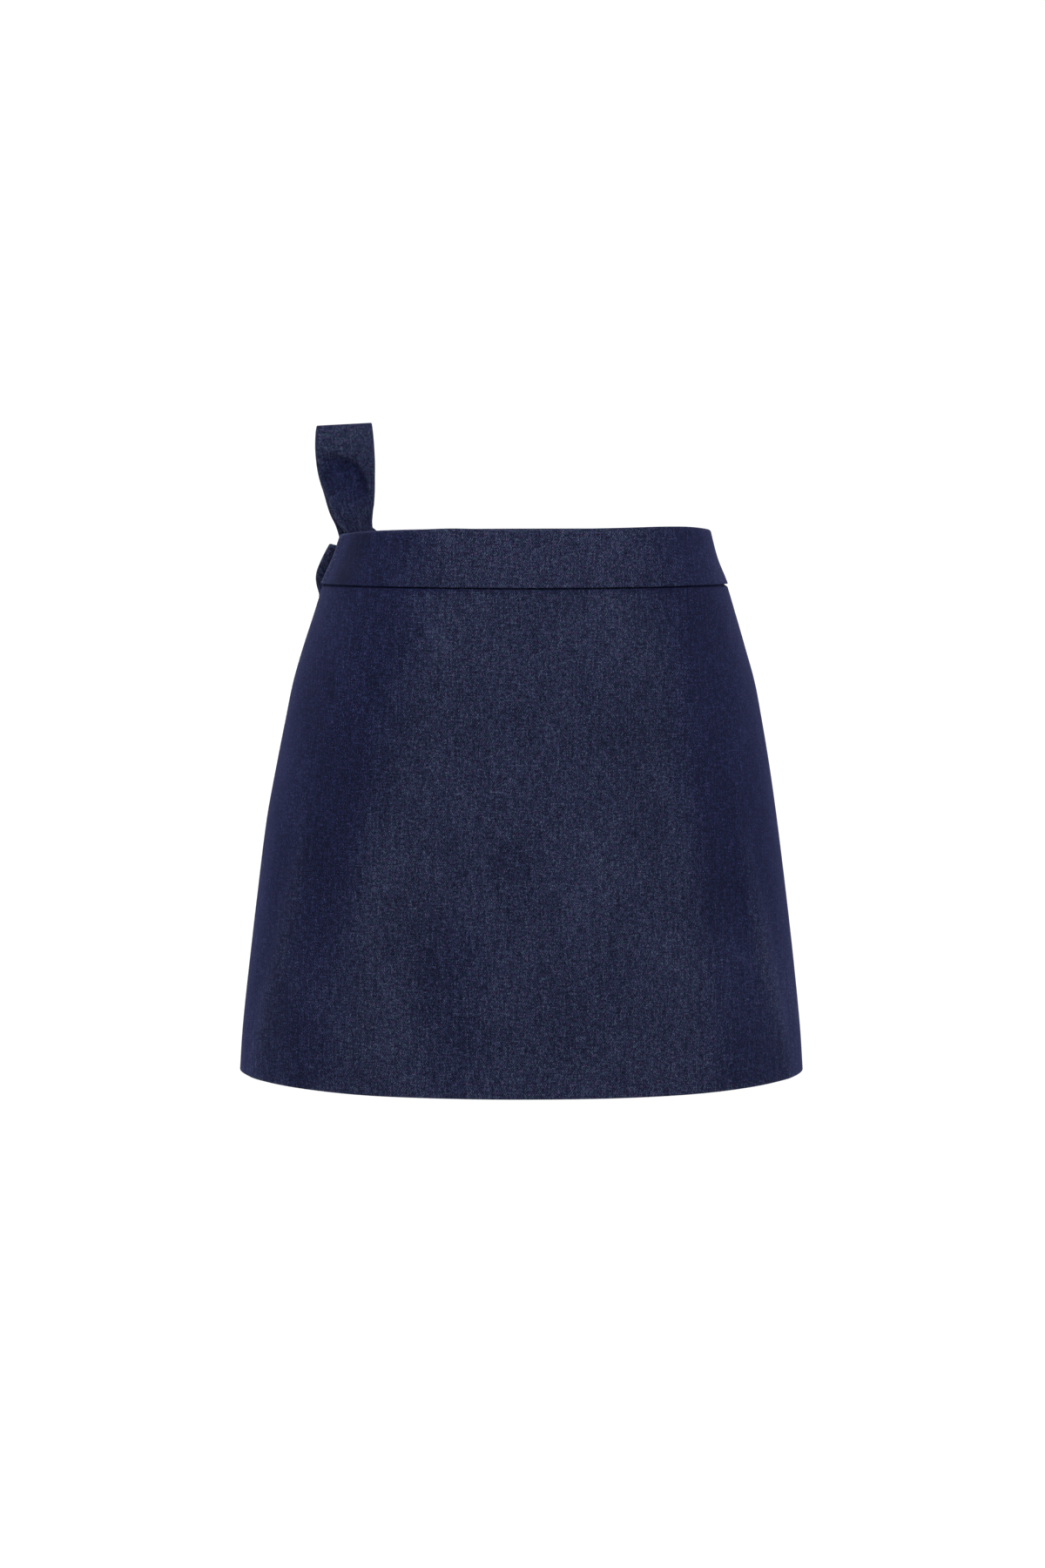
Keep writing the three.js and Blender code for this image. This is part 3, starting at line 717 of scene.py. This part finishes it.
def waistband(name, part, finish):
    sizes = bpy.context.scene.skirt_cloth
    leg = sizes.band_cloth / MM
    outer, inner = 1 - leg / 2, -1.6 - leg / 2
    radius, middle = (outer - inner) / 2, (outer + inner) / 2
    top = leg / 2 + radius
    leg_rows = lines_across(BAND_HEIGHT - top, 2.2, leg / 2)[:-4]
    turn = np.radians(np.linspace(0, 180, 11)[1:-1])
    # From the inner lower edge up over the fold and down outside: place in and out, drop, distance from that edge
    rows = [
        *((inner, BAND_HEIGHT + 0.6 - d, d) for d in leg_rows),
        *((middle - radius * math.cos(a), top - radius * math.sin(a), 1e3) for a in turn),
        *((outer, BAND_HEIGHT - d, d) for d in reversed(leg_rows)),
    ]
    out, drop, from_edge = (np.array(column) for column in zip(*rows))
    width = girth(part, BAND_HEIGHT / 2)
    along = lines_across(width, 2.6, leg / 2)
    at, drop = np.meshgrid(along, drop, indexing="ij")
    share = at / width
    start, end = part.start(np.array(BAND_HEIGHT / 2)), part.end(np.array(BAND_HEIGHT / 2))
    degrees = start + (end - start) * share
    down_share = np.clip(drop / BAND_HEIGHT, 0, 1.1)
    lowered = drop + top_dip(degrees) * (1 - down_share) + back_dip(degrees) * down_share
    sewn = {"start": width - at, "end": at}.get(part.free_edge, np.minimum(at, width - at))
    waves = 0.22 * np.sin(at / 19 + 1.3 * np.sin(at / 57)) * np.sin(down_share * 3.1 + at / 90)
    valley = 0.35 * hump(sewn, 1.4)
    tuck = hump(degrees - TUCKED_TIE[0] - (TUCKED_TIE[1] - TUCKED_TIE[0]) * down_share, TUCK_DEGREES)
    surface = out + part.lap(degrees) + waves + np.where(out > middle, TUCK_HEIGHT * tuck - valley, 0)
    center = skirt_point(degrees, lowered, surface)
    full = roundness(at, width, leg / 2) * np.minimum(1, roundness(np.minimum(from_edge, 50), 100, leg / 2))
    facing, backing = both_sides(center, leg / 2 * full)
    # The top fold is lighter, partly rubbed cloth and partly a painted highlight; the ridge over the tucked tie is
    # lighter, a painted highlight
    wear = 0.1 + fading(degrees, drop) + 0.35 * hump(drop, 2.0) + 2.6 * tuck
    # Painted shade: darker near the waistband's end at the back left
    wear = wear - 4.6 * hump(degrees - BAND_END_PAINTED_SHADE, 8)
    piece = cloth(name, facing, backing, weave_places(facing), finish, 0, wear)
    flat = (width + 2 * SEAM_ALLOWANCE, 2 * BAND_HEIGHT + SEAM_ALLOWANCE)
    return piece, flat, None


# Tie


def pleated(gather, share):
    return gather * np.cos(2 * np.pi * PLEATS * share)


def ribbon_grid(length, spacing, width=RIBBON_WIDTH):
    """Shares along a ribbon and across it, with its edges rounded, and the share of its thickness"""
    along = lines_across(length, spacing, RIBBON_EDGE)
    across = lines_across(width, 1.15, RIBBON_EDGE)
    a, b = np.meshgrid(along, across, indexing="ij")
    full = roundness(a, length, RIBBON_EDGE) * roundness(b, width, RIBBON_EDGE)
    return a / length, b / width, full


def rolled_edges_and_highlight(share):
    """Lighter along a ribbon's two folded edges, partly rubbed cloth and partly a painted highlight"""
    from_edge = np.minimum(share, 1 - share) * RIBBON_WIDTH
    return 0.45 * hump(from_edge, 1.6)


def finished(name, middle, half, full, share, finish, wear=0.85, turned=math.pi / 2):
    """A ribbon, whose weave is turned so that it runs along the ribbon"""
    facing, backing = both_sides(middle, half * full)
    return cloth(name, facing, backing, weave_places(facing, turned), finish, 0, wear + rolled_edges_and_highlight(share))


def stretch(name, table, length, finish):
    """A ribbon that lies along the waistband"""
    u, v, full = ribbon_grid(length, 1.2)
    if table[0].degrees > table[-1].degrees:
        table = table[::-1]
    degrees = table[0].degrees + (table[-1].degrees - table[0].degrees) * u

    def column(key):
        return smooth(table, key, degrees, "degrees")

    out = column("out") + column("tilt") * (0.5 - v) + column("bow") * (1 - (2 * v - 1) ** 2)
    drop = column("drop") + column("width") * (v - 0.5)
    back = degrees_for(column("back") * (1 - step(v, 0.45, 1)), degrees, drop)
    middle = skirt_point(degrees + back, drop, out + pleated(column("gather"), v))
    # Painted shade: darker in the hollow between the stretch and the waistband, from about 171 degrees to the side
    # seam
    wear = 1.1 - 1.1 * step(degrees, 168.2, 171)
    return finished(name, middle, column("thick") / 2, full, v, finish, wear)


def hanging_end(name, table, length, finish):
    """A ribbon that hangs down the skirt to its cut end"""
    v, u, full = (grid.T for grid in ribbon_grid(length, 1.8))
    drop = table[0].drop + (table[-1].drop - table[0].drop) * v

    def column(key):
        return smooth(table, key, drop)

    degrees = column("degrees") + degrees_for(column("width") * (u - 0.5), column("degrees"), drop)
    curl = 1.2 * step(v, 0.55, 1) * np.sin(u * 5.2 + v * 4)
    out = column("out") + pleated(column("gather"), u) + 0.6 * skirt_creases(degrees, drop) + curl
    middle = skirt_point(degrees, drop, out)
    return finished(name, middle, column("thick") / 2, full, u, finish, turned=0)


def knot_frame():
    """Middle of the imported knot, and the directions aside and out from it"""
    low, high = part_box("tie_knot")
    out = outward(KNOT_DEGREES, KNOT_DROP)
    return (np.array(low) + np.array(high)) / 2 / MM, np.array([out[1], -out[0], 0]), out


def dent(side, height, share):
    """Depth of the soft hollow below a bent line across the upper loop, steep above and shallow below"""
    line = DENT_HEIGHT - 0.36 * side - 0.006 * np.maximum(side, 0) ** 3
    below = np.maximum(line - height, 0)
    across = step(share, 0, 0.3) * (1 - step(share, 0.78, 0.94)) * (0.75 + 0.25 * step(share, 0.3, 0.7))
    return DENT_DEPTH * (1 - np.exp(-below / 5)) * np.exp(-below / 22) * across * step(height, 36, 50)


def bow_loop(name, table, creases, lean, length, finish):
    """A ribbon from the knot out to a fold, which leans by an angle, and back"""
    middle_of_knot, aside, out = knot_frame()
    up = np.array([0.0, 0, 1])
    rows = [(row, -row.near) for row in table] + [(row, row.far) for row in table[-2::-1]]
    places = np.arange(len(rows), dtype=float)

    def turned(degrees):
        angle = np.radians(degrees)
        x = np.cos(angle) * aside[0] - np.sin(angle) * aside[1]
        y = np.sin(angle) * aside[0] + np.cos(angle) * aside[1]
        return np.stack([x, y, np.zeros_like(x)], -1)

    path = []
    for row, apart in rows:
        across = turned(np.array(float(row.turn)))
        sideways = np.array([-across[1], across[0], 0])
        path.append(middle_of_knot + aside * row.aside + out * row.out + up * row.up + sideways * apart)
    path = np.array(path)

    u, v, full = ribbon_grid(length, 1.5)
    at = u * (len(rows) - 1)

    def column(key):
        return on_curve(places, np.array([getattr(row, key) for row, _ in rows], float), at)

    center = np.stack([on_curve(places, path[:, axis], at) for axis in range(3)], -1)
    tangent = np.gradient(center, axis=0)
    tangent /= np.linalg.norm(tangent, axis=-1, keepdims=True)
    across = turned(column("turn"))
    across = across - tangent * (across * tangent).sum(-1, keepdims=True)
    across /= np.linalg.norm(across, axis=-1, keepdims=True)
    face = np.cross(across, tangent)
    upwards = np.sign(table[1].up)
    height = (center - middle_of_knot)[..., 2]
    near = 1 - step(u, 0.46, 0.54)
    lobe = LOBE_WIDTH * np.exp(-(((height - LOBE_HEIGHT) / LOBE_REACH) ** 4)) * (1 - near)
    side = column("width") * (v - 0.5) + lobe * step(v, 0.3, 1)
    leaning = math.tan(math.radians(lean)) * step(np.abs(height), 40, 85)
    across = across + up * leaning[..., None]
    hollow = dent(side, height, v)
    dents = rise_of(creases, side, height) - hollow
    push = upwards * pleated(column("gather"), v) + dents * near + 0.4 * dents * (1 - near)
    middle = center + across * side[..., None] + face * push[..., None]
    # Lighter towards the loop's far fold, painted light; darker in the dent, painted shade
    wear = 0.6 + 0.7 * step(np.abs(height), 72, 90) - 0.16 * hollow
    # Painted shade: darker right along the loop's fold
    wear = wear - 0.8 * hump(np.abs(height) - abs(table[-1].up), 3.5)
    return finished(name, middle, column("thick") / 2, full, v, finish, wear)


def squared(value):
    """A sine or cosine that makes a circle a little square"""
    return np.sign(value) * np.abs(value) ** 0.85


def knot(name, finish):
    """A stretch of ribbon wound once round the bow, with slanting pleats and its edges tucked in"""
    middle_of_knot, aside, out = knot_frame()
    turns, radius = 1.12, 11.7
    length = turns * 2 * math.pi * radius
    u, v, full = ribbon_grid(length, 1.2, KNOT_FLAT[0])
    angle = 2 * np.pi * turns * u - np.pi * 0.56
    from_middle = 2 * v - 1
    tuck = 1 - 0.62 * np.abs(from_middle) ** 3.4
    z = -KNOT_UP * np.sin(from_middle * np.pi / 2 * 1.05)
    growth = 1 + 0.10 * (u - 0.5)
    pleats = 0.75 * np.cos(4.3 * np.pi * v - 1.6 * np.sin(angle + 0.4)) * (1 - np.abs(from_middle) ** 4)
    x = ((KNOT_ASIDE - 1) * growth * tuck + pleats) * squared(np.cos(angle))
    y = ((KNOT_OUT - 1) * growth * tuck + pleats) * squared(np.sin(angle))
    z = z + 1.6 * np.sin(angle) * (1 - np.abs(from_middle))
    middle = middle_of_knot + aside * x[..., None] + out * y[..., None] + np.array([0, 0, 1.0]) * z[..., None]
    half = np.full(u.shape, 0.85)
    return finished(name, middle, half, full, v, finish, 0.3)


# Settings


class DenimFinish(bpy.types.PropertyGroup):
    twill_spacing: bpy.props.FloatProperty(
        name="Twill spacing",
        description="Distance between two ribs of the twill",
        default=0.00105,
        min=0.0005,
        precision=5,
        unit="LENGTH",
    )
    twill_angle: bpy.props.FloatProperty(
        name="Twill angle",
        description="Slope of the ribs on the panels and the waistband",
        default=math.radians(60),
        subtype="ANGLE",
    )
    tie_twill_angle: bpy.props.FloatProperty(
        name="Twill angle of the tie",
        description="Slope of the ribs on the tie",
        default=math.radians(40),
        subtype="ANGLE",
    )
    sheen: bpy.props.FloatProperty(
        name="Sheen",
        description="Strength of the soft light on cloth that turns away",
        default=0.05,
        min=0,
        max=1,
        subtype="FACTOR",
    )
    sheen_colour: bpy.props.FloatVectorProperty(
        name="Sheen colour",
        description="Colour of that soft light",
        default=(0.36, 0.44, 0.95),
        min=0,
        max=1,
        subtype="COLOR_GAMMA",
    )


class SkirtCloth(bpy.types.PropertyGroup):
    cloth: bpy.props.FloatProperty(
        name="Denim",
        description="Thickness of one layer of the panels",
        default=1.4 * MM,
        min=0.0005,
        precision=4,
        unit="LENGTH",
    )
    turned_cloth: bpy.props.FloatProperty(
        name="Turned denim",
        description="Thickness where a hem, an edge or a seam allowance is turned in",
        default=2.4 * MM,
        min=0.0005,
        precision=4,
        unit="LENGTH",
    )
    band_cloth: bpy.props.FloatProperty(
        name="Waistband denim",
        description="Thickness of each of the two layers of the waistband",
        default=0.9 * MM,
        min=0.0005,
        precision=4,
        unit="LENGTH",
    )


class SkirtStage(bpy.types.PropertyGroup):
    backdrop: bpy.props.FloatVectorProperty(
        name="Backdrop",
        description="Colour of the floor and the backdrop",
        default=(0.8, 0.8, 0.8),
        min=0,
        max=1,
        subtype="COLOR",
    )
    glow: bpy.props.FloatProperty(
        name="Backdrop glow",
        description="Light that the floor and the backdrop give by themselves",
        default=0.175,
        min=0,
    )
    floor_drop: bpy.props.FloatProperty(
        name="Floor",
        description="Height of the waist above the floor",
        default=1.7,
        min=0.4,
        unit="LENGTH",
    )
    key_light: bpy.props.FloatProperty(
        name="Key light",
        description="Power of the large soft light beside the camera",
        default=120,
        min=0,
        unit="POWER",
    )
    lens: bpy.props.FloatProperty(
        name="Lens",
        description="Focal length of the camera, in millimetres",
        default=93.3,
        min=20,
        subtype="DISTANCE_CAMERA",
    )


# Operators


def twill_of(name, angle, lightness):
    return bpy.data.materials.get(name) or denim(name, math.degrees(angle), lightness)


# The waistband and the tie are lighter copies of the panels' denim, painted light from the lamps above
PANEL_LIGHTNESS, BAND_LIT_LIGHTNESS, TIE_LIT_LIGHTNESS = 0.012, 0.035, 0.085


class SKIRT_OT_panels(bpy.types.Operator):
    """Adds the back panel and the two fronts"""

    bl_idname = "wrap_skirt.panels"
    bl_label = "Panels"

    def execute(self, context):
        finish = twill_of("skirt denim", context.scene.denim_finish.twill_angle, PANEL_LIGHTNESS)
        over_underlap = ["waistband_overlap", "underlap_front_panel"]
        for name, node, part, rests_on in (
            ("back_denim", "back_panel", BACK, ["waistband_back"]),
            ("overlap_front_denim", "overlap_front_panel", OVERLAP, over_underlap),
            ("underlap_front_denim", "underlap_front_panel", UNDERLAP, ["waistband_underlap"]),
        ):
            piece, flat, area = panel(name, part, finish)
            dress(piece, node, flat, area)
        return {"FINISHED"}


class SKIRT_OT_waistband(bpy.types.Operator):
    """Adds the three lengths of the folded waistband"""

    bl_idname = "wrap_skirt.waistband"
    bl_label = "Waistband"

    def execute(self, context):
        finish = twill_of("waistband denim", context.scene.denim_finish.twill_angle, BAND_LIT_LIGHTNESS)
        for name, node, part, rests_on in (
            ("back_band_denim", "waistband_back", BACK, ["back_panel"]),
            ("overlap_band_denim", "waistband_overlap", OVERLAP, ["overlap_front_panel"]),
            ("underlap_band_denim", "waistband_underlap", UNDERLAP, ["underlap_front_panel"]),
        ):
            piece, flat, area = waistband(name, part, finish)
            dress(piece, node, flat, area)
        return {"FINISHED"}


class SKIRT_OT_tie(bpy.types.Operator):
    """Adds the stretches of the tie along the waistband and its two hanging ends"""

    bl_idname = "wrap_skirt.tie"
    bl_label = "Tie"

    def execute(self, context):
        finish = twill_of("tie denim", context.scene.denim_finish.tie_twill_angle, TIE_LIT_LIGHTNESS)
        for make, held, name, node, table, length, rests_on in (
            (stretch, "stretched", "side_stretch_denim", "tie_side_stretch", SIDE_STRETCH, 78, "waistband_underlap"),
            (stretch, "stretched", "front_stretch_denim", "tie_front_stretch", FRONT_STRETCH, 27, "waistband_overlap"),
            (hanging_end, "hung", "side_end_denim", "tie_side_end", SIDE_END, 144, "tie_knot"),
            (hanging_end, "hung", "front_end_denim", "tie_front_end", FRONT_END, 136, "tie_knot"),
        ):
            piece = make(name, table, length, finish)
            dress(piece, node, (RIBBON_WIDTH, length))
        return {"FINISHED"}


class SKIRT_OT_bow(bpy.types.Operator):
    """Adds the two loops of the bow and the knot that holds them"""

    bl_idname = "wrap_skirt.bow"
    bl_label = "Bow"

    def execute(self, context):
        finish = twill_of("tie denim", context.scene.denim_finish.tie_twill_angle, TIE_LIT_LIGHTNESS)
        for name, node, table, creases, lean, length in (
            ("upper_loop_denim", "tie_upper_loop", UPPER_LOOP, UPPER_LOOP_CREASES, 3.1, 205),
            ("lower_loop_denim", "tie_lower_loop", LOWER_LOOP, LOWER_LOOP_CREASES, -4, 190),
        ):
            piece = bow_loop(name, table, creases, lean, length, finish)
            dress(piece, node, (RIBBON_WIDTH, length))
        piece = knot("knot_denim", finish)
        dress(piece, "tie_knot", KNOT_FLAT)
        return {"FINISHED"}


# Name, place and size of each lamp in metres, and its share of the key light's power
LAMPS = [
    ("key", (-0.8, -2.7, 2.2), (1.6, 1.6), 1),
    ("fill", (1.1, -2.6, 2.0), (1.8, 1.8), 0.9),
    ("left side", (-2.7, 0.6, 0.9), (1.2, 2.2), 0.35),
    ("right side", (2.7, 0.6, 0.9), (1.2, 2.2), 0.35),
    ("far key", (0.9, 2.7, 2.2), (1.6, 1.6), 0.75),
    ("far fill", (-1.1, 2.6, 2.0), (1.8, 1.8), 0.75),
]
LAMP_TARGET = (0, 0, -0.15)
CAMERA_PLACE, CAMERA_TILT = (0, -2.8, 0.019), 86.4


class SKIRT_OT_stage(bpy.types.Operator):
    """Adds the pale floor and backdrop, the soft lights and the camera"""

    bl_idname = "wrap_skirt.stage"
    bl_label = "Stage"

    def execute(self, context):
        scene = context.scene
        stage = scene.skirt_stage
        sweep(stage)
        for name, place, size, share in LAMPS:
            light = bpy.data.lights.new(name, "AREA")
            light.shape = "RECTANGLE"
            light.size, light.size_y = size
            light.energy = stage.key_light * share
            lamp = bpy.data.objects.new(name, light)
            scene.collection.objects.link(lamp)
            lamp.location = place
            lamp.rotation_euler = aim(place, LAMP_TARGET)
        world = bpy.data.worlds.new("studio air")
        scene.world = world
        world.use_nodes = True
        air = world.node_tree.nodes["Background"].inputs
        air["Color"].default_value = (1, 1, 1, 1)
        air["Strength"].default_value = 0.4

        data = bpy.data.cameras.new("camera")
        data.lens = stage.lens
        data.sensor_width = 36
        data.clip_end = 50
        camera = bpy.data.objects.new("camera", data)
        scene.collection.objects.link(camera)
        camera.location = CAMERA_PLACE
        camera.rotation_euler = (math.radians(CAMERA_TILT), 0, 0)
        scene.camera = camera
        scene.view_settings.view_transform = "Standard"
        return {"FINISHED"}


def aim(place, target):
    """Rotation that points a lamp from a place to a target"""
    x, y, z = (t - p for t, p in zip(target, place))
    return (math.atan2(math.hypot(x, y), -z), 0, math.atan2(-x, y))


def sweep(stage):
    """A round floor that rises all round into a backdrop in one soft curve"""
    floor, flat, curve, top, around_it = -stage.floor_drop, 5.0, 2.0, 7.0, 72
    bend = [math.radians(a) for a in range(0, 91, 9)]
    profile = [(flat + curve * math.sin(a), floor + curve * (1 - math.cos(a))) for a in bend]
    profile.append((flat + curve, floor + top))
    angles = [2 * math.pi * i / around_it for i in range(around_it)]
    points = [(0, 0, floor)] + [(r * math.cos(a), r * math.sin(a), z) for r, z in profile for a in angles]
    faces = [(0, 1 + i, 1 + (i + 1) % around_it) for i in range(around_it)]
    for ring in range(len(profile) - 1):
        low, high = 1 + ring * around_it, 1 + (ring + 1) * around_it
        for i in range(around_it):
            j = (i + 1) % around_it
            faces.append((low + i, high + i, high + j, low + j))
    mesh = bpy.data.meshes.new("backdrop")
    mesh.from_pydata(points, [], faces)
    mesh.shade_smooth()
    backdrop = bpy.data.objects.new("backdrop", mesh)
    bpy.context.scene.collection.objects.link(backdrop)
    material = bpy.data.materials.new("backdrop paper")
    material.use_nodes = True
    shader = material.node_tree.nodes["Principled BSDF"]
    shader.inputs["Base Color"].default_value = (*stage.backdrop, 1)
    shader.inputs["Roughness"].default_value = 0.9
    shader.inputs["Emission Color"].default_value = (1, 1, 1, 1)
    shader.inputs["Emission Strength"].default_value = stage.glow
    mesh.materials.append(material)


class SKIRT_PT_panel(bpy.types.Panel):
    """The pieces of the skirt and their settings"""

    bl_idname = "SKIRT_PT_panel"
    bl_label = "Wrap skirt"
    bl_space_type = "VIEW_3D"
    bl_region_type = "UI"
    bl_category = "Wrap skirt"

    def draw(self, context):
        for group in (context.scene.denim_finish, context.scene.skirt_cloth, context.scene.skirt_stage):
            box = self.layout.box()
            for key in group.__annotations__:
                box.prop(group, key)
        for operator in OPERATORS:
            self.layout.operator(operator.bl_idname)


OPERATORS = (SKIRT_OT_panels, SKIRT_OT_waistband, SKIRT_OT_tie, SKIRT_OT_bow, SKIRT_OT_stage)
CLASSES = (DenimFinish, SkirtCloth, SkirtStage, *OPERATORS, SKIRT_PT_panel)


def register():
    for item in CLASSES:
        bpy.utils.register_class(item)
    bpy.types.Scene.denim_finish = bpy.props.PointerProperty(type=DenimFinish)
    bpy.types.Scene.skirt_cloth = bpy.props.PointerProperty(type=SkirtCloth)
    bpy.types.Scene.skirt_stage = bpy.props.PointerProperty(type=SkirtStage)


def unregister():
    del bpy.types.Scene.skirt_stage
    del bpy.types.Scene.skirt_cloth
    del bpy.types.Scene.denim_finish
    for item in reversed(CLASSES):
        bpy.utils.unregister_class(item)


def main():
    register()
    bpy.ops.wrap_skirt.panels()
    bpy.ops.wrap_skirt.waistband()
    bpy.ops.wrap_skirt.tie()
    bpy.ops.wrap_skirt.bow()
    bpy.ops.wrap_skirt.stage()


if __name__ == "__main__":
    main()
